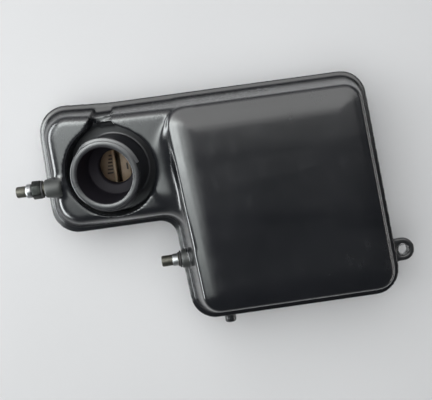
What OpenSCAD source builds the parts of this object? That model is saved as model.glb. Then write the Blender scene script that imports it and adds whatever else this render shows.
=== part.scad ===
// Coolant expansion tank: two moulded half shells welded at a seam, with a low filler lobe beside
// a tall chamber, a threaded filler neck standing in a drained well, and two hose nipples.
// The origin lies on the base, under the middle of the tall chamber.

/* [Chamber] */
// Height of the chamber's flat top over the base
tank_h = 112; // [104:1:124]
// Height of the weld seam over the base
seam_h = 52; // [46:1:56]
// Width of the chamber's top
chamber_w = 162; // [150:1:190]
// Length of the chamber's top
chamber_l = 173; // [165:1:195]
// How far the front end stands to the right of the back end
chamber_lean = 12.5; // [0:0.5:16]
// Corner radius of the chamber's top, seen from above
chamber_r = 15; // [12:0.5:18]
// Corner radius of the chamber's foot, seen from above
foot_r = 19; // [16:0.5:22]
// Slope of the left wall from the top edge to the seam
left_draft = 8.5; // [5:0.5:10]
// Slope of the right wall from the top edge to the seam
right_draft = 13; // [6:0.5:15]
// Slope of the back wall from the top edge to the seam
back_draft = 10; // [6:0.5:12]
// Slope of the front wall from the top edge to the seam
front_draft = 14; // [8:0.5:16]
// Rise of the crowned border of the top
crown_h = 3; // [1:0.5:4]
// Width of the crowned border of the top
crown_w = 22; // [12:1:30]
// Radius of the chamber's top edge
edge_r = 3.5; // [3.25:0.25:5]

/* [Filler lobe] */
// How far the lobe stands out from the chamber's side
lobe_w = 105.5; // [100:0.5:115]
// Distance of the lobe's front wall in front of the origin
lobe_front = 6; // [2:1:12]
// Corner radius of the lobe's walls, seen from above
lobe_r = 20; // [16:0.5:24]
// Radius of the hollow corner between the lobe and the chamber
crotch_r = 18; // [12:1:22]
// Slope of the lobe's walls
lobe_draft = 5; // [2:0.5:6]
// Radius of the lobe's top shoulder
shoulder_r = 7; // [4:0.5:8]
// Slope of the lobe's top down to the left, in degrees
lean_left = 10; // [7:0.5:11]
// Slope of the lobe's top down to the front, in degrees
lean_front = 7.5; // [6:0.5:11]
// How far the lobe's back corner stands out behind the chamber
lobe_flare = 4; // [0:0.5:6]
// Width of that ramp, from its foot to the chamber's top edge
ramp_run = 24; // [18:1:28]

/* [Walls] */
// Wall thickness of the shells
wall = 3; // [2.5:0.25:3.5]
// Width of the weld flange outside the walls
flange_w = 4; // [3:0.5:6]
// Thickness of each half of the weld flange
flange_t = 3; // [2.5:0.25:4]
// Slope of the lower shell's walls
lower_draft = 5; // [2:0.5:8]
// Radius of the lower shell's bottom edge
base_r = 8; // [5:0.5:10]

/* [Filler neck] */
// Bore of the neck at its mouth
neck_bore = 47; // [45:0.5:50]
// Thickness of the neck's wall
neck_wall = 5.5; // [4:0.25:6.5]
// Height of the mouth over the lobe's top
neck_rise = 17; // [12:0.5:20]
// Bore of the throat in the neck's floor
throat_bore = 30; // [24:0.5:34]
// Length of the throat below the neck's floor
throat_l = 7; // [5:0.5:10]
// Width of the well between its wall and the neck
well_gap = 10; // [9:0.25:12]
// Depth of the well below the lobe's top
well_depth = 20; // [16:0.5:24]

/* [Drain channel] */
// Width of the drain channel
channel_w = 16.5; // [12:0.5:20]
// Depth of the channel below the lobe's top
channel_depth = 18.5; // [10:0.5:19]
// Height of the sill across the channel
sill_h = 3; // [1:0.5:5]
// Length of the sill along the channel
sill_l = 6; // [4:0.5:8]
// Depth of the groove that leads the channel down the back wall
chute_depth = 3.5; // [2:0.5:5]

/* [Hose nipples] */
// Outer diameter of the hose nipples
nipple_d = 9.6; // [8:0.2:12]
// Bore of the hose nipples
nipple_bore = 6; // [4:0.2:7]
// Height of the bleed nipple's axis over the base
bleed_h = 79; // [76:0.5:82]
// Distance of the bleed nipple's axis behind the origin
bleed_y = 34; // [28:1:40]
// Height of the feed nipple's axis over the base
feed_h = 68; // [66:0.5:76]
// Distance of the feed nipple's axis in front of the origin
feed_y = 44; // [42:1:60]

/* [Fixings] */
// Bore of the ear's metal sleeve
sleeve_bore = 8.6; // [6:0.2:9]
// Distance of the ear's hole from the weld flange
ear_reach = 7.5; // [6:0.5:12]
// Distance of the ear's hole in front of the origin
ear_y = 67; // [50:1:70]
// Diameter of the locating peg
peg_d = 10.6; // [8:0.2:12]
// Length of the locating peg outside the weld flange
peg_l = 9; // [6:0.5:14]

/* [Hidden] */

// Points along each rounded corner, and facets of a full turn
corner_n = 8;
turn_n = 96;
// Overrun of cuts past the face that they open
over = 1;
// Clearance between pieces that are pushed or screwed together
fit = 0.1;
// Tightest radius that an inset corner keeps
least_r = 1;

lean_k = chamber_lean / chamber_l;
edge_h = tank_h - crown_h;

// Unit vector, and the shares of a step between two values
function unit(v) = v / norm(v);
function mix(a, b, t) = a + (b - a) * t;
function turn(u, v) = u.x * v.y - u.y * v.x;

// Corner i of the list p, moved inwards by d
function inset_corner(p, i, d) =
    let (n = len(p), u = unit(p[(i + n - 1) % n] - p[i]), v = unit(p[(i + 1) % n] - p[i]),
         s = turn(v, u) > 0 ? 1 : -1)
    p[i] + unit(u + v) * d * s / sin(acos(u * v) / 2);
function inset(p, d) = [for (i = [0:len(p) - 1]) inset_corner(p, i, d)];

// Corner i of the list p as an arc of radius r
function corner_arc(p, i, r) =
    let (n = len(p), u = unit(p[(i + n - 1) % n] - p[i]), v = unit(p[(i + 1) % n] - p[i]),
         a = acos(u * v), s = turn(v, u) > 0 ? 1 : -1,
         c = p[i] + unit(u + v) * r / sin(a / 2),
         start = atan2(-v.x * s, v.y * s) - s * (180 - a))
    [for (k = [0:corner_n]) let (b = start + s * (180 - a) * k / corner_n) c + r * [cos(b), sin(b)]];

// Outline with the corners p rounded by the radii r, all moved inwards by d;
// a hollow corner's radius grows where the others shrink
function hollow(p, i) =
    let (n = len(p)) turn(p[(i + 1) % n] - p[i], p[(i + n - 1) % n] - p[i]) < 0;
function outline(p, r, d = 0) =
    let (q = inset(p, d))
    [for (i = [0:len(p) - 1]) each corner_arc(q, i, hollow(p, i) ? r[i] + d : max(r[i] - d, least_r))];

// Ring of the outline p at the height h
function level(p, h) = [for (a = p) [a.x, a.y, h]];

// Closed solid through rings with equally many points, from the lowest to the highest
module loft(rings) {
    n = len(rings[0]);
    m = len(rings);
    polyhedron(
        points = [for (r = rings) each r],
        faces = concat(
            [[for (i = [0:n - 1]) i]],
            [for (k = [0:m - 2]) for (i = [0:n - 1]) let (j = (i + 1) % n)
                each [[k * n + i, (k + 1) * n + i, (k + 1) * n + j],
                      [k * n + i, (k + 1) * n + j, k * n + j]]],
            [[for (i = [n - 1:-1:0]) (m - 1) * n + i]]));
}

// Corners of the chamber's walls, t = 0 at the seam and t = 1 at the top edge
function chamber_corners(t) =
    let (l = chamber_w / 2 + left_draft * (1 - t), r = chamber_w / 2 + right_draft * (1 - t),
         b = chamber_l / 2 + back_draft * (1 - t), f = chamber_l / 2 + front_draft * (1 - t))
    [[r - lean_k * b, b], [-l - lean_k * b, b], [-l + lean_k * f, -f], [r + lean_k * f, -f]];
function chamber_radii(t) = [for (i = [0:3]) mix(foot_r, chamber_r, t)];
function chamber_t(h) = (h - seam_h) / (edge_h - seam_h);
// Place of the chamber's back wall at the height h
function chamber_back(h) = chamber_l / 2 + back_draft * (1 - chamber_t(h));
// Place of the chamber's left wall at the height h and the distance y behind the origin
function chamber_left(h, y) = -chamber_w / 2 - left_draft * (1 - chamber_t(h)) - lean_k * y;

// Small step that keeps one wall of two joined forms just inside the other
tuck = 0.6;

// The chamber's form with all faces moved inwards by d, from the height low upwards
edge_steps = 4;
crown_steps = 4;
module chamber_form(d = 0, low = seam_h) {
    top_d = d + edge_r;
    loft(concat(
        [level(outline(chamber_corners(chamber_t(low)), chamber_radii(0), d), low)],
        [for (k = [0:edge_steps]) let (a = 90 * k / edge_steps, h = edge_h - d - edge_r * (1 - sin(a)))
            level(outline(chamber_corners(chamber_t(min(h, edge_h))), chamber_radii(1),
                          d + edge_r * (1 - cos(a))), h)],
        [for (k = [1:crown_steps]) let (s = k / crown_steps)
            level(outline(chamber_corners(1), chamber_radii(1), top_d + (crown_w - edge_r) * s),
                  edge_h - d + crown_h * (1 - pow(1 - s, 2)))]));
}

// Left and right ends of the lobe, and the neck's place between them
lobe_left = chamber_left(seam_h, 0) - lobe_w;
lobe_right = chamber_left(edge_h, chamber_l / 2) + chamber_r;
neck_share = 0.53;
neck_y = 41.5;
neck_p = [lobe_left + lobe_w * neck_share, neck_y];
neck_z = 91;
neck_d = neck_bore + 2 * neck_wall;
well_d = neck_d + 2 * well_gap;

// Height of the lobe's sloping top, lowered by d, over the plan point p
slope_x = tan(lean_left);
slope_y = tan(lean_front) / cos(lean_left);
function lobe_top(p, d = 0) = neck_z + (p.x - neck_p.x) * slope_x + (p.y - neck_p.y) * slope_y - d;
module in_neck_frame(depth = 0) {
    translate([neck_p.x, neck_p.y, neck_z])
        rotate([lean_front, -lean_left, 0])
            translate([0, 0, -depth])
                children();
}

// Corners of the lobe's walls, t = 0 at the seam and t = 1 at its top; the last three follow the
// chamber's left wall, just inside it, so that the hollow corner runs smoothly into that wall
crotch_l = crotch_r * 2;
flare_share = 0.5;
flare_x = mix(lobe_left, lobe_right, flare_share);
function lobe_corners(t) =
    let (h = mix(seam_h, lobe_top([chamber_left(seam_h, -lobe_front), -lobe_front]), t),
         x0 = lobe_left + lobe_draft * t, y0 = -lobe_front + lobe_draft * t,
         y2 = y0 - crotch_l, b = [for (x = [lobe_right, flare_x, x0])
             chamber_back(mix(seam_h, lobe_top([x, chamber_l / 2], shoulder_r), t)) - tuck])
    [[lobe_right, b[0]], [flare_x, b[1]], [x0, b[2] + lobe_flare], [x0, y0],
     [chamber_left(h, y0) + tuck, y0], [chamber_left(h, y2) + tuck, y2],
     [chamber_left(edge_h, y2) + chamber_r, y2]];
lobe_radii = [least_r, lobe_r, lobe_r, lobe_r, crotch_r, least_r, least_r];
shoulder_steps = 4;
module lobe_form(d = 0, low = seam_h) {
    intersection() {
        loft(concat(
            [level(outline(lobe_corners(0), lobe_radii, d), low)],
            [for (k = [0:shoulder_steps]) let (a = 90 * k / shoulder_steps,
                                               s = outline(lobe_corners(1), lobe_radii,
                                                           d + shoulder_r * (1 - cos(a))))
                [for (p = s) [p.x, p.y, lobe_top(p, d + shoulder_r * (1 - sin(a)))]]]));
        translate([lobe_left - lobe_w, -chamber_l, 0])
            cube([lobe_w + chamber_w, chamber_l * 2, edge_h - d - tuck]);
    }
}

// Ramp from the lobe's top up to the chamber's left top edge; s = 0 along its foot and s = 1 at its
// top. Its face is straight at the back and hollow and steep at the front, where it runs out into
// the chamber's wall.
ramp_steps = 6;
ramp_r = 16;
ramp_mid = 14;
ramp_front = -lobe_front * 2;
ramp_sink = 1.3;
bend_back = 1;
bend_front = 3;
ramp_foot = let (back = chamber_back(edge_h), f = chamber_left(edge_h, ramp_front),
                 b = chamber_left(edge_h, back) - ramp_run)
    [[ramp_front, lobe_top([f, ramp_front]) - ramp_sink], [back, lobe_top([b, back]) - ramp_sink]];
function ramp_height(s, y) =
    mix(mix(ramp_foot[0][1], ramp_foot[1][1], (y - ramp_foot[0][0]) / (ramp_foot[1][0] - ramp_foot[0][0])),
        edge_h - tuck, s);
function ramp_side(y, run) = chamber_left(edge_h, y) + edge_r / 2 - run;
function ramp_ring(s, d) =
    let (y1 = chamber_back(ramp_height(s, chamber_back(edge_h))) - tuck,
         run = ramp_run * pow(1 - s, bend_back),
         corners = [[ramp_side(y1, -ramp_run), y1], [ramp_side(y1, run), y1],
                    [ramp_side(ramp_mid, ramp_run * pow(1 - s, bend_front)), ramp_mid],
                    [ramp_side(ramp_front, -edge_r), ramp_front],
                    [ramp_side(ramp_front, -ramp_run), ramp_front]],
         radii = [least_r, chamber_r + run, ramp_r, least_r, least_r])
    [for (p = outline(corners, radii, d)) [p.x, p.y, ramp_height(s, p.y) - d]];
module ramp_form(d = 0) {
    loft([for (k = [0:ramp_steps]) ramp_ring(k / ramp_steps, d)]);
}

// Whole form of the upper shell with all faces moved inwards by d, from the height low upwards
module upper_form(d, low) {
    chamber_form(d, low);
    lobe_form(d, low);
    ramp_form(d);
}

// Outline of the whole tank at the seam, as corners and radii
seam_corners = let (c = chamber_corners(0), l = lobe_corners(0))
    [c[0], [flare_x, c[0].y], [l[2].x, c[0].y + lobe_flare], l[3],
     [chamber_left(seam_h, l[3].y), l[3].y], c[2], c[3]];
seam_radii = [foot_r, lobe_r, lobe_r, lobe_r, crotch_r, foot_r, foot_r];

// Well around the neck and the channel that drains it over the back edge, seen along the neck's
// axis and grown by g; each side of the channel leaves the well in a flare of its own radius
flare_left = 22;
flare_right = 10;
channel_end = chamber_back(seam_h) - neck_p.y;
chute_low = seam_h + flange_t + tuck;
chute_shift = 1;
chute_x = neck_p.x - chute_shift;
function flare(side, r, g) =
    let (h = channel_w / 2 + g, w = well_d / 2 + g, e = r - g,
         c = [side * (h + e), sqrt(pow(w + e, 2) - pow(h + e, 2))],
         a0 = side > 0 ? 180 : 0, a1 = atan2(-c.y, -c.x) + (side > 0 ? 360 : 0))
    [for (k = [0:corner_n]) let (a = mix(a0, a1, k / corner_n)) c + e * [cos(a), sin(a)]];
module channel_plan(g = 0) {
    l = flare(-1, flare_left, g);
    r = flare(1, flare_right, g);
    polygon(concat(
        [for (i = [0:corner_n]) r[corner_n - i]],
        [[channel_w / 2 + g, channel_end + over], [-channel_w / 2 - g, channel_end + over]],
        l, [[0, 0]]));
}
sill_y = well_d / 2 + over;
module chute(g) {
    w = channel_w / 2 + g;
    loft([for (h = [chute_low - g, tank_h])
        let (y = chamber_back(h) - chute_depth - g)
        level([for (c = [[-w, y], [w, y], [w, y + lobe_r], [-w, y + lobe_r]]) [chute_x + c.x, c.y]], h)]);
}
module well_cut(g = 0, top = 0) {
    in_neck_frame(well_depth + g)
        cylinder(d = well_d + 2 * g, h = well_depth + g + top, $fn = turn_n);
    in_neck_frame(channel_depth + g)
        linear_extrude(channel_depth + g + top)
            channel_plan(g);
    chute(g);
}
module sill() {
    in_neck_frame(channel_depth + over)
        translate([-channel_w / 2 - over, sill_y, 0])
            cube([channel_w + 2 * over, sill_l, sill_h + over]);
}

// Hose nipple sizes shared by the nipple, its seal and the boss that it is screwed into
nipple_step = 2.4;
stem_d = nipple_d + nipple_step;
hex_d = 16;
hex_l = 7.9;
seal_t = 1.5;
seal_d = 15;
boss_d = 17;
boss_top_d = 15.5;
boss_reach = 6;
stem_l = 10;
bead_d = stem_d;
bead_l = 6;
bead_gap = 0.9;
tip_c = 0.8;
bleed_tail_l = 6.8;
collar_d = 12.6;
collar_l = 1.4;
band_d = 11;
band_l = 4.9;
feed_tail_l = 9.6;
bleed_x = lobe_left + lobe_draft / 2 + tuck;
feed_x = chamber_left(feed_h, -feed_y);

// Frame of a nipple: its axis runs along +Z here and points to the left of the tank
module at_bleed() {
    translate([bleed_x - boss_reach, bleed_y, bleed_h])
        rotate([0, -90, 0])
            children();
}
module at_feed() {
    translate([feed_x - boss_reach - tuck, -feed_y, feed_h])
        rotate([0, -90, 0])
            children();
}
module boss(depth) {
    translate([0, 0, -depth])
        cylinder(d = boss_d, h = depth - tip_c, $fn = turn_n);
    translate([0, 0, -tip_c])
        cylinder(d1 = boss_d, d2 = boss_top_d, h = tip_c, $fn = turn_n);
}
module boss_bore(depth) {
    translate([0, 0, -stem_l - fit])
        cylinder(d = stem_d + 2 * fit, h = stem_l + fit + over, $fn = turn_n);
    translate([0, 0, -depth])
        cylinder(d = nipple_bore, h = depth, $fn = turn_n);
}
boss_depth = boss_reach + stem_l;

// Moulded half shell without its bosses, as one mesh at its own size
module upper_moulding() {
    resize([0, 0, 0])
        difference() {
            union() {
                upper_form(0, seam_h + tuck);
                loft([for (h = [0, flange_t])
                    level(outline(seam_corners, seam_radii, -flange_w), seam_h + h)]);
            }
            difference() {
                upper_form(wall, seam_h - over);
                well_cut(wall);
            }
            difference() {
                well_cut(0, shoulder_r + over);
                sill();
            }
        }
}
module upper_shell() color("#2b2f33") {
    difference() {
        union() {
            upper_moulding();
            at_bleed()
                boss(boss_depth);
            at_feed()
                boss(boss_depth);
        }
        at_bleed()
            boss_bore(boss_depth + over);
        at_feed()
            boss_bore(boss_depth + over);
        in_neck_frame(well_depth + wall + over)
            cylinder(d = seat_d + 2 * fit, h = wall + 2 * over, $fn = turn_n);
    }
}

// Corners of the lower shell's walls at the share t of the way down from the seam
ear_d = 21;
ear_p = let (x = chamber_corners(0)[0].x, y = chamber_corners(0)[0].y)
    [x + lean_k * (y + ear_y) + flange_w + ear_reach, -ear_y];
sleeve_wall = 1.2;
sleeve_d = sleeve_bore + 2 * sleeve_wall;
ear_t = 6;
ear_z = seam_h - tuck - ear_t;
ear_root = ear_reach + flange_w + wall / 2;
ear_corners = [[ear_d / 2, ear_d / 2], [-ear_root, ear_d / 2], [-ear_root, -ear_d / 2],
               [ear_d / 2, -ear_d / 2]];
ear_radii = [ear_d / 2 - fit, least_r, least_r, ear_d / 2 - fit];
function lower_rings(d) = [for (k = [0:edge_steps]) let (a = 90 * k / edge_steps)
    level(outline(seam_corners, seam_radii, d + lower_draft + base_r * (1 - sin(a))),
          d + base_r * (1 - cos(a)))];
// Moulded tray as one mesh at its own size: up its outer face to the weld flange, over the rim and
// down its inner face
module lower_moulding() {
    inner = lower_rings(wall);
    resize([0, 0, 0])
        loft(concat(
            lower_rings(0),
            [for (f = [[0, flange_t], [-flange_w, flange_t], [-flange_w, 0], [wall, 0]])
                level(outline(seam_corners, seam_radii, f[0]), seam_h - f[1])],
            [for (i = [edge_steps:-1:0]) inner[i]]));
}
module lower_shell() color("#25282c") {
    difference() {
        union() {
            lower_moulding();
            translate([ear_p.x, ear_p.y, ear_z])
                linear_extrude(ear_t)
                    polygon(outline(ear_corners, ear_radii));
            peg();
        }
        translate([ear_p.x, ear_p.y, ear_z - over])
            cylinder(d = sleeve_d + 2 * fit, h = ear_t + 2 * over, $fn = turn_n);
    }
}

// Locating peg on a pad that reaches as far as the weld flange
peg_p = [-54, -chamber_l / 2 - front_draft - flange_w];
peg_z = 40;
peg_tip = 1;
pad_d = 16;
module peg() {
    translate([peg_p.x, peg_p.y, peg_z])
        rotate([90, 0, 0]) {
            translate([0, 0, -flange_w - lower_draft / 2])
                cylinder(d = pad_d, h = flange_w + lower_draft / 2, $fn = turn_n);
            cylinder(d = peg_d, h = peg_l - peg_tip, $fn = turn_n);
            translate([0, 0, peg_l - peg_tip])
                cylinder(d1 = peg_d, d2 = peg_d - 2 * peg_tip, h = peg_tip, $fn = turn_n);
        }
}

// Neck on the floor of the well, with a narrow throat below it
seat_step = 1.75;
seat_d = neck_d - 2 * seat_step;
throat_wall = 2.5;
lip_r = 1;
module filler_neck() color("#2f3338") {
    floor_t = wall + fit;
    in_neck_frame()
        rotate_extrude($fn = turn_n)
            polygon([[throat_bore / 2, -well_depth - throat_l], [throat_bore / 2, -well_depth],
                     [neck_bore / 2, -well_depth], [neck_bore / 2, neck_rise - lip_r],
                     [neck_bore / 2 + lip_r, neck_rise], [neck_d / 2 - lip_r, neck_rise],
                     [neck_d / 2, neck_rise - lip_r], [neck_d / 2, -well_depth],
                     [seat_d / 2, -well_depth], [seat_d / 2, -well_depth - floor_t],
                     [throat_bore / 2 + throat_wall, -well_depth - floor_t],
                     [throat_bore / 2 + throat_wall, -well_depth - throat_l]]);
}

// Moulded insert below the throat: a slotted plate on two legs, with level ticks beside a rib
gauge_top = 40;
gauge_w = 36;
gauge_l = 36;
gauge_foot_t = 3;
gauge_plate_t = 6;
rib_w = 2.5;
rib_h = 3;
slot_w = 3.4;
slot_l = 26;
tick_n = 6;
tick_l = 5;
tick_w = 1;
tick_h = 0.8;
tick_pitch = 3.1;
tick_gap = 3.2;
gauge_shift = [2, 4.5];
gauge_p = [neck_p.x + gauge_shift.x, neck_p.y + gauge_shift.y, wall];
module level_gauge() color("#9c6b34") {
    translate(gauge_p)
        difference() {
            union() {
                translate([-gauge_w / 2, -gauge_l / 2, 0])
                    cube([gauge_w, gauge_l, gauge_foot_t]);
                for (x = [-1, 1])
                    translate([x * (gauge_w - gauge_foot_t) / 2 - gauge_foot_t / 2, -gauge_l / 2, 0])
                        cube([gauge_foot_t, gauge_l, gauge_top - gauge_foot_t]);
                translate([-gauge_w / 2, -gauge_l / 2, gauge_top - gauge_foot_t - gauge_plate_t])
                    cube([gauge_w, gauge_l, gauge_plate_t]);
                translate([-rib_w, -gauge_l / 2, gauge_top - gauge_foot_t])
                    cube([rib_w, gauge_l, rib_h]);
                for (i = [0:tick_n - 1])
                    translate([-rib_w - tick_gap - tick_l, (i - (tick_n - 1) / 2) * tick_pitch - tick_w / 2,
                               gauge_top - gauge_foot_t])
                        cube([tick_l, tick_w, tick_h]);
            }
            translate([rib_w / 2, -slot_l / 2, gauge_top - gauge_foot_t - gauge_plate_t - over])
                cube([slot_w, slot_l, gauge_plate_t + 2 * over]);
        }
}

// Turned hose nipple: a stem in the boss, a collar, a wider band and a hose tail, as a half
// section of steps, each with its end and its diameter
function section(steps, low) =
    concat([[nipple_bore / 2, low]],
           [for (i = [0:len(steps) - 1]) each [[steps[i][1] / 2, i == 0 ? low : steps[i - 1][0]],
                                               [steps[i][1] / 2, steps[i][0]]]],
           [let (e = steps[len(steps) - 1]) each [[e[1] / 2 - tip_c, e[0] + tip_c],
                                                  [nipple_bore / 2, e[0] + tip_c]]]);
module turned(steps) {
    rotate_extrude($fn = turn_n)
        polygon(section(steps, -stem_l));
}
bleed_bead = seal_t + hex_l + bead_gap;
module bleed_nipple() color("#8f9294")
    at_bleed() {
        difference() {
            translate([0, 0, seal_t])
                cylinder(d = hex_d, h = hex_l, $fn = 6);
            cylinder(d = stem_d - tip_c, h = 2 * hex_l, $fn = turn_n);
        }
        turned([[seal_t + hex_l, stem_d], [bleed_bead, nipple_d], [bleed_bead + bead_l, bead_d],
                [bleed_bead + bead_l + bleed_tail_l - tip_c, nipple_d]]);
    }
feed_band = seal_t + collar_l;
module feed_nipple() color("#8f9294")
    at_feed()
        turned([[seal_t, stem_d], [feed_band, collar_d], [feed_band + band_l, band_d],
                [feed_band + band_l + feed_tail_l - tip_c, nipple_d]]);
module seal() {
    difference() {
        cylinder(d = seal_d, h = seal_t, $fn = turn_n);
        translate([0, 0, -over])
            cylinder(d = stem_d + 2 * fit, h = seal_t + 2 * over, $fn = turn_n);
    }
}
module bleed_seal() color("#1a1a1a")
    at_bleed()
        seal();
module feed_seal() color("#1a1a1a")
    at_feed()
        seal();

module ear_sleeve() color("#b9bcbf") {
    translate([ear_p.x, ear_p.y, ear_z])
        difference() {
            cylinder(d = sleeve_d, h = ear_t, $fn = turn_n);
            translate([0, 0, -over])
                cylinder(d = sleeve_bore, h = ear_t + 2 * over, $fn = turn_n);
        }
}

upper_shell();
lower_shell();
filler_neck();
level_gauge();
bleed_nipple();
bleed_seal();
feed_nipple();
feed_seal();
ear_sleeve();
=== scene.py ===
import math

import bmesh
import bpy
from mathutils import Euler, Matrix, Vector


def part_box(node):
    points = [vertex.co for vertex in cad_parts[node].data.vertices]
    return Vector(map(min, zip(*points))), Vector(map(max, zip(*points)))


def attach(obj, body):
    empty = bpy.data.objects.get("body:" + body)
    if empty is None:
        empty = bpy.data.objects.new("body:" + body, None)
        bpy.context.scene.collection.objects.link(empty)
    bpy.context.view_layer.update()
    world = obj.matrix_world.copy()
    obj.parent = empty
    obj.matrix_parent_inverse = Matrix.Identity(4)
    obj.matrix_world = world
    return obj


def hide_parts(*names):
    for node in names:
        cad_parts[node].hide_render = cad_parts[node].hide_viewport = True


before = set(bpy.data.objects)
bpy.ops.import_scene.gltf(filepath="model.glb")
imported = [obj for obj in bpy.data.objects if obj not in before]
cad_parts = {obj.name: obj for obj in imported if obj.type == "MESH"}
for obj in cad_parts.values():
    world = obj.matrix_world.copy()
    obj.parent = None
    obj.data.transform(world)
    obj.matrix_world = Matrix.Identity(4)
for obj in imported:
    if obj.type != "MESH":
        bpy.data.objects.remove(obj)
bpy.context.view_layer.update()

# Sizes are in millimetres, as on the part's drawing, and become metres where a mesh is finished.
MM = 0.001


def turn(degrees, axis):
    return Matrix.Rotation(math.radians(degrees), 4, axis)


# Places of the pieces, from the drawing. In the neck's own frame Z runs along its axis and the
# origin is where that axis meets the lobe's top.
NECK_PLACE = Matrix.Translation((-139.085, 41.5, 91)) @ (turn(-10, "Y") @ turn(7.5, "X"))
TO_NECK = NECK_PLACE.inverted()
GAUGE_PLACE = Matrix.Translation((-137.085, 46, 3))
BLEED_FACE = Vector((-197.9, 34, 79))
FEED_FACE = Vector((-90.535, -44, 68))
BLEED_PLACE = Matrix.Translation(BLEED_FACE) @ turn(-90, "Y")
FEED_PLACE = Matrix.Translation(FEED_FACE) @ turn(-90, "Y")

# Outlines of the turned pieces: radius and height of each corner
NECK_OUTLINE = [
    (15, -26.6), (15, -21.2), (15.4, -20.4), (16.2, -19.9), (22.4, -17.6), (23.2, -16.9),
    (23.5, -16.0), (23.5, 15.9), (23.75, 16.6), (24.4, 17.0), (28.1, 17.0), (28.7, 16.7),
    (29.0, 16.0), (29.0, -18.6), (29.5, -19.6), (30.6, -20.0), (30.6, -20.3), (27.2, -20.3),
    (27.2, -23.1), (17.9, -23.1), (17.5, -23.5), (17.5, -26.6), (17.1, -27.0), (15.4, -27.0)]
THREAD_ROOT = 27.4
THREAD_OUTLINE = [(THREAD_ROOT, 0.0), (30.9, -0.05), (31.3, -0.3), (31.5, -0.8), (31.3, -1.4),
                  (29.6, -2.6), (THREAD_ROOT, -3.2)]
BLEED_TAIL_OUTLINE = [
    (3, -9.9), (5.8, -9.9), (5.95, -9.4), (5.95, 9.3), (5.5, 9.5), (5.3, 9.8), (5.85, 10.3),
    (6.0, 11.1), (6.0, 13.2), (5.85, 14.0), (5.3, 14.7), (4.8, 15.0), (4.8, 21.6), (4.6, 22.6),
    (4.1, 23.0), (3.5, 23.1), (3.1, 22.9), (3, 22.4)]
FEED_TAIL_OUTLINE = [
    (3, -9.9), (5.8, -9.9), (5.95, -9.4), (5.95, 1.5), (6.1, 1.6), (6.3, 1.9), (6.3, 2.6),
    (6.0, 2.9), (5.6, 3.1), (5.5, 3.5), (5.5, 7.2), (5.2, 7.7), (4.8, 7.9), (4.8, 16.0),
    (4.6, 16.9), (4.1, 17.3), (3.5, 17.4), (3.1, 17.2), (3, 16.7)]
SEAL_OUTLINE = [(6.05, 0.05), (7.0, 0.0), (7.4, 0.3), (7.5, 0.75), (7.4, 1.2), (7.0, 1.5),
                (6.05, 1.45)]


# ---- materials -------------------------------------------------------------------------------

class Finish:
    """Small helper that lays out the nodes of one material."""

    def __init__(self, name):
        self.material = bpy.data.materials.new(name)
        self.material.use_nodes = True
        self.nodes = self.material.node_tree.nodes
        self.links = self.material.node_tree.links
        self.shader = self.nodes["Principled BSDF"]
        self.place = self.nodes.new("ShaderNodeTexCoord").outputs["Object"]

    def fixed(self, **values):
        for socket, value in values.items():
            self.shader.inputs[socket.replace("_", " ")].default_value = value

    def drive(self, socket, value):
        self.links.new(value, self.shader.inputs[socket])

    def noise(self, scale, detail=4.0, rough=0.55, stretch=(1, 1, 1), warp=0.0):
        mapping = self.nodes.new("ShaderNodeMapping")
        mapping.inputs["Scale"].default_value = stretch
        self.links.new(self.place, mapping.inputs["Vector"])
        node = self.nodes.new("ShaderNodeTexNoise")
        node.inputs["Scale"].default_value = scale
        node.inputs["Detail"].default_value = detail
        node.inputs["Roughness"].default_value = rough
        node.inputs["Distortion"].default_value = warp
        self.links.new(mapping.outputs["Vector"], node.inputs["Vector"])
        return node.outputs["Fac"]

    def ramp(self, factor, dark_end, dark, light_end, light):
        """Runs from a dark colour to a light one between two levels of a pattern."""
        node = self.nodes.new("ShaderNodeValToRGB")
        ends = zip(node.color_ramp.elements, ((dark_end, dark), (light_end, light)))
        for element, (level, colour) in ends:
            element.position = level
            element.color = (*colour, 1)
        self.links.new(factor, node.inputs["Fac"])
        return node.outputs["Color"]

    def spread(self, factor, low, high, start=0.0, end=1.0):
        node = self.nodes.new("ShaderNodeMapRange")
        node.inputs["From Min"].default_value = start
        node.inputs["From Max"].default_value = end
        node.inputs["To Min"].default_value = low
        node.inputs["To Max"].default_value = high
        self.links.new(factor, node.inputs["Value"])
        return node.outputs["Result"]

    def blend(self, factor, colour, over):
        """Lays a plain colour over a patterned one."""
        node = self.nodes.new("ShaderNodeMix")
        node.data_type = "RGBA"
        self.links.new(factor, node.inputs["Factor"])
        self.links.new(colour, node.inputs[6])
        node.inputs[7].default_value = (*over, 1)
        return node.outputs[2]

    def combine(self, first, second, operation="ADD"):
        node = self.nodes.new("ShaderNodeMath")
        node.operation = operation
        for socket, value in zip(node.inputs, (first, second)):
            if isinstance(value, bpy.types.NodeSocket):
                self.links.new(value, socket)
            else:
                socket.default_value = value
        return node.outputs[0]

    def bump(self, height, strength, distance):
        node = self.nodes.new("ShaderNodeBump")
        node.inputs["Strength"].default_value = strength
        node.inputs["Distance"].default_value = distance
        self.links.new(height, node.inputs["Height"])
        self.links.new(node.outputs["Normal"], self.shader.inputs["Normal"])


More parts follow.
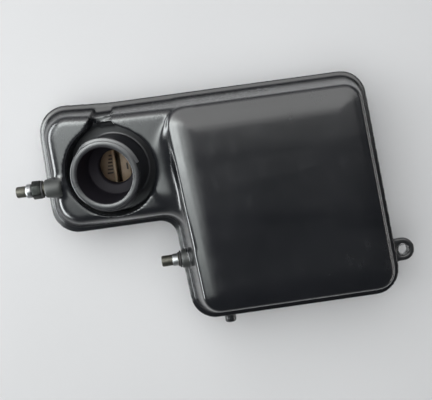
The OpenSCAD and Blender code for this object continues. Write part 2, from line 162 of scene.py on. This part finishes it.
def moulded_plastic(name, dark, light, gloss, dull, lustre=1.58):
    """Injection-moulded plastic: cloudy colour, uneven gloss, faint flow lines and scuffs."""
    f = Finish(name)
    cloud = f.noise(14, detail=5, rough=0.6)
    flow = f.noise(9, detail=3, rough=0.5, stretch=(0.35, 2.2, 1), warp=0.6)
    scuff = f.noise(90, detail=6, rough=0.7, stretch=(1.0, 0.6, 1))
    dust = f.ramp(scuff, 0.60, (0, 0, 0), 0.86, (0.09, 0.09, 0.09))
    dust_colour = tuple(3.0 * c for c in light)
    f.drive("Base Color", f.blend(dust, f.ramp(cloud, 0.3, dark, 0.72, light), dust_colour))
    f.drive("Roughness", f.combine(f.spread(flow, gloss, dull, 0.3, 0.7),
                                   f.spread(scuff, 0.0, 0.06, 0.5, 0.8)))
    grain = f.noise(1500, detail=2, rough=0.5)
    wave = f.noise(26, detail=2, rough=0.4)
    f.bump(f.combine(f.combine(grain, 0.10, "MULTIPLY"), wave), strength=0.25, distance=0.0004)
    f.fixed(IOR=lustre)
    return f.material


def amber_plastic(name, dark, light):
    """Slightly clear amber plastic with a cloudy colour."""
    f = Finish(name)
    f.drive("Base Color", f.ramp(f.noise(60, detail=4, rough=0.6), 0.3, dark, 0.75, light))
    f.drive("Roughness", f.spread(f.noise(240, detail=3), 0.35, 0.6))
    f.bump(f.noise(700, detail=3), strength=0.15, distance=0.0003)
    f.fixed(Subsurface_Weight=0.12, Subsurface_Scale=0.003)
    return f.material


ALONG_X, ALONG_Z = (3, 0.1, 0.1), (0.1, 0.1, 3)


def turned_metal(name, dark, light, gloss, dull, lathe=ALONG_X):
    """Turned steel with fine lathe lines across its axis and a patchy tarnish."""
    f = Finish(name)
    f.drive("Base Color", f.ramp(f.noise(160, detail=5, rough=0.65), 0.32, dark, 0.7, light))
    f.drive("Roughness", f.spread(f.noise(420, detail=4), gloss, dull, 0.3, 0.7))
    f.bump(f.noise(2200, detail=2, rough=0.5, stretch=lathe), strength=0.12, distance=0.0002)
    f.fixed(Metallic=1.0)
    return f.material


def seal_rubber():
    """Dull black rubber."""
    f = Finish("seal_rubber")
    f.drive("Base Color", f.ramp(f.noise(300, detail=4), 0.3, (0.012, 0.012, 0.013),
                                 0.8, (0.035, 0.035, 0.036)))
    f.drive("Roughness", f.spread(f.noise(500, detail=3), 0.5, 0.75))
    f.bump(f.noise(1800, detail=2), strength=0.2, distance=0.0002)
    return f.material


SHELL_TOP = moulded_plastic("shell_plastic", (0.007, 0.008, 0.010), (0.014, 0.015, 0.018),
                            gloss=0.16, dull=0.27)
SHELL_TRAY = moulded_plastic("tray_plastic", (0.010, 0.011, 0.013), (0.018, 0.020, 0.022),
                             gloss=0.22, dull=0.34)
# Darker, less glossy copy of the shell plastic: painted shade in the well round the neck.
WELL_PAINTED_SHADE = moulded_plastic("well_painted_shade_plastic", (0.006, 0.007, 0.008), (0.013, 0.014, 0.016),
                            gloss=0.34, dull=0.46, lustre=1.36)
# Lighter grey copy of the shell plastic: painted sheen on the two hose bosses.
BOSS_PAINTED_SHEEN = moulded_plastic("boss_painted_sheen_plastic", (0.022, 0.025, 0.024), (0.040, 0.044, 0.042),
                            gloss=0.44, dull=0.56, lustre=1.5)
NECK_GREY = moulded_plastic("neck_plastic", (0.016, 0.017, 0.020), (0.028, 0.029, 0.033),
                            gloss=0.24, dull=0.36)
# Darker, dull copy of the neck plastic: painted shade deep in the bore.
NECK_PAINTED_SHADE = moulded_plastic("neck_painted_shade_plastic", (0.009, 0.008, 0.011), (0.017, 0.015, 0.020),
                            gloss=0.5, dull=0.6, lustre=1.25)
AMBER = amber_plastic("amber_plastic", (0.17, 0.11, 0.062), (0.31, 0.22, 0.135))
# Lighter and near-black copies of the amber: painted light on the gauge's raised parts and painted
# shade on its ticks.
AMBER_PAINTED_LIGHT = amber_plastic("amber_painted_light", (0.25, 0.17, 0.10), (0.44, 0.32, 0.195))
AMBER_PAINTED_SHADE = amber_plastic("amber_painted_shade", (0.012, 0.006, 0.003), (0.028, 0.015, 0.007))
TAIL_STEEL = turned_metal("nipple_steel", (0.05, 0.048, 0.042), (0.12, 0.117, 0.10), 0.42, 0.6)
# Lighter copy of the nipple steel: painted highlight on the hose tails' beads.
PAINTED_HIGHLIGHT_STEEL = turned_metal("painted_highlight_steel", (0.20, 0.205, 0.21), (0.34, 0.345, 0.35), 0.34, 0.46)
HEX_DARK = turned_metal("blackened_steel", (0.010, 0.011, 0.011), (0.036, 0.038, 0.036),
                        0.34, 0.5)
SLEEVE_STEEL = turned_metal("sleeve_steel", (0.50, 0.51, 0.52), (0.74, 0.75, 0.76), 0.2, 0.36,
                            lathe=ALONG_Z)
RUBBER = seal_rubber()


# ---- building pieces -------------------------------------------------------------------------

def placed(name, mesh):
    piece = bpy.data.objects.new(name, mesh)
    bpy.context.scene.collection.objects.link(piece)
    return piece


def finished(name, bm, place, material, replaced=(), sharp=40):
    """Puts a piece made in millimetres in its place, gives it its finish and lets it ride."""
    bmesh.ops.transform(bm, matrix=Matrix.Scale(MM, 4) @ place, verts=bm.verts)
    bmesh.ops.remove_doubles(bm, verts=bm.verts, dist=1e-6)
    bmesh.ops.recalc_face_normals(bm, faces=bm.faces)
    mesh = bpy.data.meshes.new(name)
    bm.to_mesh(mesh)
    bm.free()
    piece = placed(name, mesh)
    mesh.shade_smooth()
    mesh.set_sharp_from_angle(angle=math.radians(sharp))
    mesh.materials.append(material)
    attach(piece, "root")
    if replaced:
        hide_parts(*replaced)
    return piece


def spun(bm, outline, steps=72, sweep=360.0, rise=0.0):
    """Spins a closed outline of (radius, height) corners about the Z axis."""
    corners = [bm.verts.new((r, 0, z)) for r, z in outline]
    geometry = corners + [bm.edges.new((corners[i], corners[i - 1])) for i in range(len(corners))]
    if sweep < 360:
        geometry.append(bm.faces.new(corners))
    bmesh.ops.spin(bm, geom=geometry, cent=(0, 0, 0), axis=(0, 0, 1), dvec=(0, 0, rise / steps),
                   angle=math.radians(sweep), steps=steps, use_merge=sweep >= 360)


# ---- half shells -----------------------------------------------------------------------------

def spread_weights(piece, name, weight):
    """Gives every point of a piece the weight that a function of its place in millimetres says."""
    group = piece.vertex_groups.new(name=name)
    for v in piece.data.vertices:
        w = weight(v.co / MM)
        if w > 0.01:
            group.add([v.index], min(w, 1.0), "REPLACE")


def baked(piece):
    """Turns a piece's live modifiers into its mesh."""
    view = bpy.context.evaluated_depsgraph_get()
    mesh = bpy.data.meshes.new_from_object(piece.evaluated_get(view))
    piece.modifiers.clear()
    old, piece.data = piece.data, mesh
    mesh.name = piece.name
    bpy.data.meshes.remove(old)
    return mesh


def moulded_half(node, name, voxel, smoothing, triangles, material, soft=None, reshape=None):
    """A moulded half shell: the solid's own form with its edges and inner corners rounded."""
    bm = bmesh.new()
    bm.from_mesh(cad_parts[node].data)
    bmesh.ops.remove_doubles(bm, verts=bm.verts, dist=2e-6)
    if reshape:
        reshape(bm)
    mesh = bpy.data.meshes.new(name)
    bm.to_mesh(mesh)
    bm.free()
    piece = placed(name, mesh)
    remesh = piece.modifiers.new("even_mesh", "REMESH")
    remesh.mode = "VOXEL"
    remesh.voxel_size = voxel * MM
    baked(piece)
    if soft:
        spread_weights(piece, "soft", soft)
        blend = piece.modifiers.new("soft_blends", "SMOOTH")
        blend.factor = 0.5
        blend.iterations = 90
        blend.vertex_group = "soft"
    round_off = piece.modifiers.new("round_edges", "SMOOTH")
    round_off.factor = 0.5
    round_off.iterations = smoothing
    thin = piece.modifiers.new("thin_out", "DECIMATE")
    thin.ratio = triangles / (2 * len(piece.data.polygons))
    mesh = baked(piece)
    piece.vertex_groups.clear()
    mesh.materials.clear()
    mesh.materials.append(material)
    mesh.shade_smooth()
    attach(piece, "root")
    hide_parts(node)
    return piece


def longer_sill(bm):
    """Draws the front wall of the channel's sill towards the neck and lowers its step."""
    half_width, front, back, foot, top = 9, 38.5, 46, -19.5, -14.5
    front_wall, step = 39.8, -16.5
    from_neck = NECK_PLACE.to_3x3() * MM
    for v in bm.verts:
        place = TO_NECK @ (v.co / MM)
        if abs(place.x) < half_width and front < place.y < back and foot < place.z < top:
            forward = -2.5 if place.y < front_wall else 0.0
            down = -2.0 if place.z > step else 0.0
            v.co += from_neck @ Vector((0, forward, down))


def soft_places(place):
    """How soft the form is: on the left shoulder, along the foot of the ramp and in the crotch."""
    shoulder, shoulder_fade = -176, 5
    back, back_fade, foot_reach = 84, 12, 14
    if place.x < shoulder and place.z > 76:
        return 0.7 * min(1.0, (shoulder - place.x) / shoulder_fade)
    if place.z < 56 or place.x > -72 or place.x < -122 or place.y > back or place.y < -34:
        return 0.0
    foot = -97 + 0.075 * (40 - place.y) if place.y > 0 else -94 - 0.5 * place.y
    across = max(0.0, 1.0 - (abs(place.x - foot) / foot_reach) ** 2)
    return across * min(1.0, (back - place.y) / back_fade)


def painted_shade_and_sheen_places(shell):
    """Gives the well round the neck a darker, duller copy of the shell plastic as painted shade,
    and the two hose bosses a lighter copy as painted sheen.
    """
    shell.data.materials.append(WELL_PAINTED_SHADE)
    shell.data.materials.append(BOSS_PAINTED_SHEEN)
    well_rim, well_top, boss_reach = 40.6, -5, 8.6
    bosses = ((BLEED_FACE, -182), (FEED_FACE, -82))
    for face in shell.data.polygons:
        centre = face.center / MM
        place = TO_NECK @ centre
        # Faces in the well take the darker copy as painted shade.
        if place.xy.length < well_rim and place.z < well_top:
            face.material_index = 1
        # Faces on the hose bosses take the lighter copy as painted sheen.
        elif any((centre - boss).yz.length < boss_reach and centre.x < wall
                 for boss, wall in bosses):
            face.material_index = 2


# ---- filler neck and level gauge -------------------------------------------------------------

def thread_ridge(bm, start, sweep, low, high, fade):
    """Adds a flat-topped thread ridge that rises from low to high and fades into the wall there."""
    ridge = bmesh.new()
    spun(ridge, THREAD_OUTLINE, steps=round(sweep / 3), sweep=sweep, rise=high - low)
    for v in ridge.verts:
        reach = Vector(v.co.xy)
        # The ridge's first corners may read as just under 360 degrees.
        along = math.degrees(math.atan2(reach.y, reach.x)) % 360 % 350
        left = min(1.0, max(0.0, (sweep - along) / fade))
        v.co.xy = reach.normalized() * (THREAD_ROOT + (reach.length - THREAD_ROOT) * left)
    bmesh.ops.rotate(ridge, verts=ridge.verts, cent=(0, 0, 0), matrix=turn(start, "Z"))
    bmesh.ops.translate(ridge, verts=ridge.verts, vec=(0, 0, low))
    bmesh.ops.recalc_face_normals(ridge, faces=ridge.faces)
    part = bpy.data.meshes.new("ridge")
    ridge.to_mesh(part)
    ridge.free()
    bm.from_mesh(part)
    bpy.data.meshes.remove(part)


def filler_neck():
    """Neck with a rounded mouth, an interrupted outer thread and a throat in its floor."""
    bm = bmesh.new()
    spun(bm, NECK_OUTLINE, steps=128)
    thread_ridge(bm, start=14, sweep=138, low=16.45, high=16.0, fade=40)
    thread_ridge(bm, start=-125, sweep=100, low=11.4, high=13.4, fade=30)
    thread_ridge(bm, start=-120, sweep=95, low=6.2, high=8.2, fade=30)
    neck = finished("filler_neck_moulding", bm, NECK_PLACE, NECK_GREY,
                    ["filler_neck"])
    # Faces deep in the bore take the darker copy as painted shade.
    neck.data.materials.append(NECK_PAINTED_SHADE)
    bore, mouth_depth = 23.7, 8
    for face in neck.data.polygons:
        centre = TO_NECK @ (face.center / MM)
        if centre.xy.length < bore and centre.z < mouth_depth:
            face.material_index = 1


def bevelled_block(bm, low, high, radius, segments=2, finish=0):
    """Adds a block between two corners with all its edges rounded."""
    low, high = Vector(low), Vector(high)
    block = bmesh.ops.create_cube(bm, size=1.0)["verts"]
    bmesh.ops.scale(bm, vec=high - low, verts=block)
    bmesh.ops.translate(bm, vec=(low + high) / 2, verts=block)
    for v in block:
        for face in v.link_faces:
            face.material_index = finish
    edges = list(dict.fromkeys(e for v in block for e in v.link_edges))
    bmesh.ops.bevel(bm, geom=edges, offset=radius, segments=segments, profile=0.5,
                    affect="EDGES", material=-1)


def level_gauge():
    """Amber insert: two panels with a dark slot between them, a rib and a column of ticks."""
    bm = bmesh.new()
    half, top, deck = 18, 37.0, 31.0
    # Finish slots: 1 is the lighter amber as painted light on the raised parts, 2 the near-black
    # amber as painted shade on the ticks and a small pocket.
    painted_light, painted_shade = 1, 2
    bevelled_block(bm, (-half, -half, 0), (half, half, 3), 0.6)
    for x in (-half, half - 3):
        bevelled_block(bm, (x, -half, 2), (x + 3, half, top - 1), 0.5)
    bevelled_block(bm, (-half, -half, deck), (-0.4, half, top), 0.7)
    for y in (-half, half - 1):
        bevelled_block(bm, (-1, y, deck), (5, y + 1, top - 2), 0.6)
    bevelled_block(bm, (3.3, -half, deck), (half, half, top + 0.6), 0.7, finish=painted_light)
    bevelled_block(bm, (-3.2, -17.5, top - 0.5), (-0.7, 17.5, top + 3), 0.6, 3, finish=painted_light)
    bevelled_block(bm, (10.6, -17.5, top - 0.3), (12.0, 17.5, top + 1.6), 0.4, finish=painted_light)
    for tick in range(6):
        y = (tick - 2.5) * 3.1
        bevelled_block(bm, (-9.4 + 0.6 * tick, y - 0.75, top - 0.4),
                       (-4.0 + 0.12 * tick, y + 0.75, top + 0.7), 0.2, finish=painted_shade)
    bevelled_block(bm, (8.4, -6.5, top + 0.2), (9.9, -0.5, top + 1.1), 0.2, finish=painted_shade)
    insert = finished("level_gauge_insert", bm, GAUGE_PLACE, AMBER,
                      ["level_gauge"], sharp=35)
    insert.data.materials.append(AMBER_PAINTED_LIGHT)
    insert.data.materials.append(AMBER_PAINTED_SHADE)


# ---- hose nipples, seals and the ear's sleeve ------------------------------------------------

def hose_tail(name, outline, face, place, node, highlight_start, highlight_end):
    """Turned and bored hose tail with a lighter steel band, painted as a highlight, between two
    distances from its boss.
    """
    bm = bmesh.new()
    spun(bm, outline)
    tail = finished(name, bm, place, TAIL_STEEL, [node])
    tail.data.materials.append(PAINTED_HIGHLIGHT_STEEL)
    # Faces between the two distances take the lighter steel as a painted highlight.
    for polygon in tail.data.polygons:
        if highlight_start < face.x - polygon.center.x / MM < highlight_end:
            polygon.material_index = 1


def bleed_hexagon():
    """Blackened hexagon at the foot of the bleed nipple, above its seal."""
    height, seal_height = 7.9, 1.5
    bm = bmesh.new()
    bmesh.ops.create_circle(bm, cap_ends=True, radius=8.0, segments=6)
    rim = bmesh.ops.extrude_face_region(bm, geom=bm.faces[:])["geom"]
    bmesh.ops.translate(bm, vec=(0, 0, height),
                        verts=[g for g in rim if isinstance(g, bmesh.types.BMVert)])
    bmesh.ops.translate(bm, vec=(0, 0, seal_height), verts=bm.verts)
    bmesh.ops.recalc_face_normals(bm, faces=bm.faces)
    bmesh.ops.bevel(bm, geom=bm.edges[:], offset=0.6, segments=3, profile=0.5, affect="EDGES",
                    material=-1)
    finished("bleed_nipple_hexagon", bm, BLEED_PLACE, HEX_DARK, sharp=35)


def seal(name, place, node):
    bm = bmesh.new()
    spun(bm, SEAL_OUTLINE)
    finished(name, bm, place, RUBBER, [node])


def ear_sleeve():
    """Metal sleeve with chamfered ends in the fixing ear."""
    low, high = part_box("ear_sleeve")
    half = (high - low).z / 2 / MM
    bm = bmesh.new()
    spun(bm, [(4.3, half - 0.4), (4.6, half), (5.2, half), (5.5, half - 0.3), (5.5, 0.3 - half),
              (5.2, -half), (4.6, -half), (4.3, 0.4 - half)])
    finished("ear_sleeve_turned", bm, Matrix.Translation((low + high) / 2 / MM), SLEEVE_STEEL,
             ["ear_sleeve"])


painted_shade_and_sheen_places(moulded_half("upper_shell", "upper_moulding", 0.85, 16, 190000, SHELL_TOP,
                           soft_places, longer_sill))
moulded_half("lower_shell", "lower_moulding", 1.0, 9, 120000, SHELL_TRAY)
filler_neck()
level_gauge()
hose_tail("bleed_nipple_tail", BLEED_TAIL_OUTLINE, BLEED_FACE, BLEED_PLACE, "bleed_nipple",
          highlight_start=9.6, highlight_end=14.9)
bleed_hexagon()
hose_tail("feed_nipple_tail", FEED_TAIL_OUTLINE, FEED_FACE, FEED_PLACE, "feed_nipple",
          highlight_start=2.95, highlight_end=7.7)
seal("bleed_seal_ring", BLEED_PLACE, "bleed_seal")
seal("feed_seal_ring", FEED_PLACE, "feed_seal")
ear_sleeve()


# ---- stage, lamps and camera -----------------------------------------------------------------

def stage_floor():
    """Plain pale floor under the tank."""
    bm = bmesh.new()
    bmesh.ops.create_grid(bm, x_segments=4, y_segments=4, size=4.0)
    mesh = bpy.data.meshes.new("floor")
    bm.to_mesh(mesh)
    bm.free()
    floor = placed("floor", mesh)
    f = Finish("floor_paint")
    f.drive("Base Color", f.ramp(f.noise(3, detail=2), 0.2, (0.70, 0.71, 0.72),
                                 0.8, (0.74, 0.75, 0.76)))
    f.fixed(Roughness=0.9)
    mesh.materials.append(f.material)


def room():
    """A pale room that is brightest low down and on the left, and dark overhead."""
    world = bpy.data.worlds.new("room")
    bpy.context.scene.world = world
    world.use_nodes = True
    nodes, links = world.node_tree.nodes, world.node_tree.links
    background = nodes["Background"]
    background.inputs["Color"].default_value = (0.96, 0.99, 1.0, 1)
    way = nodes.new("ShaderNodeSeparateXYZ")
    links.new(nodes.new("ShaderNodeTexCoord").outputs["Generated"], way.inputs[0])
    level = nodes.new("ShaderNodeMath")
    level.operation = "MULTIPLY"
    grades = (("Z", "SMOOTHSTEP", 0.05, 0.5, 0.3, 0.05), ("X", "LINEAR", -1.0, 1.0, 1.0, 0.55))
    for factor, (axis, curve, start, end, first, last) in zip(level.inputs, grades):
        grade = nodes.new("ShaderNodeMapRange")
        grade.interpolation_type = curve
        grade.inputs["From Min"].default_value = start
        grade.inputs["From Max"].default_value = end
        grade.inputs["To Min"].default_value = first
        grade.inputs["To Max"].default_value = last
        links.new(way.outputs[axis], grade.inputs["Value"])
        links.new(grade.outputs["Result"], factor)
    links.new(level.outputs[0], background.inputs["Strength"])


def panel(name, azimuth, elevation, width, height, level, colour=(1, 1, 1), mirrored=True,
          aim=(-0.06, 0.02, 0.1), reach=1.3):
    """A soft panel in a direction from the tank, sized in degrees, that either shows in
    reflections or lights the scene evenly. Its aim and reach are in metres."""
    light = bpy.data.lights.new(name, "AREA")
    light.shape = "RECTANGLE"
    light.size = 2 * reach * math.tan(math.radians(width / 2))
    light.size_y = 2 * reach * math.tan(math.radians(height / 2))
    light.energy = level * math.pi * light.size * light.size_y
    light.color = colour
    holder = placed(name, light)
    towards = (turn(azimuth, "Z") @ turn(-elevation, "Y")) @ Vector((1, 0, 0))
    holder.location = Vector(aim) + reach * towards
    holder.rotation_euler = (-towards).to_track_quat("-Z", "Y").to_euler()
    holder.visible_glossy = mirrored
    holder.visible_diffuse = not mirrored


def photo_camera():
    """Camera at the photo's angle. Its place is in metres and its turns are in degrees."""
    lens = bpy.data.cameras.new("photo_camera")
    lens.sensor_fit = "HORIZONTAL"
    lens.sensor_width = 36.0
    lens.lens = 62.5
    lens.clip_end = 20.0
    camera = placed("photo_camera", lens)
    camera.location = (-0.0691, 0.06705, 0.722)
    camera.rotation_euler = Euler([math.radians(a) for a in (-5.332, -2.129, -7.809)])
    bpy.context.scene.camera = camera


stage_floor()
room()
panel("fill_overhead", 140, 72, 64, 64, 3.1, mirrored=False)
panel("window_left", 182, 13, 80, 22, 15.0, (0.95, 0.99, 1.0), aim=(-0.19, 0.03, 0.09), reach=0.3)
panel("sky_left_bright", 172, 52, 20, 20, 8.5, (0.95, 1.0, 1.0))
panel("sky_left", 179, 57, 36, 17, 4.0, (0.94, 1.0, 0.98))
panel("sky_left_high", 168, 71, 28, 12, 2.0, (0.94, 1.0, 0.98))
panel("sky_back_left", 147, 60, 14, 30, 2.6, (0.96, 1.0, 0.98))
panel("sky_behind", 92, 64, 88, 42, 2.8, (1.0, 1.0, 0.98))
panel("sky_behind_low", 92, 27, 80, 32, 1.2, (1.0, 0.98, 1.0))
panel("strip_right", -12, 9, 60, 8, 6.0, (1.0, 0.96, 0.93))
photo_camera()
bpy.context.scene.view_settings.view_transform = "Standard"
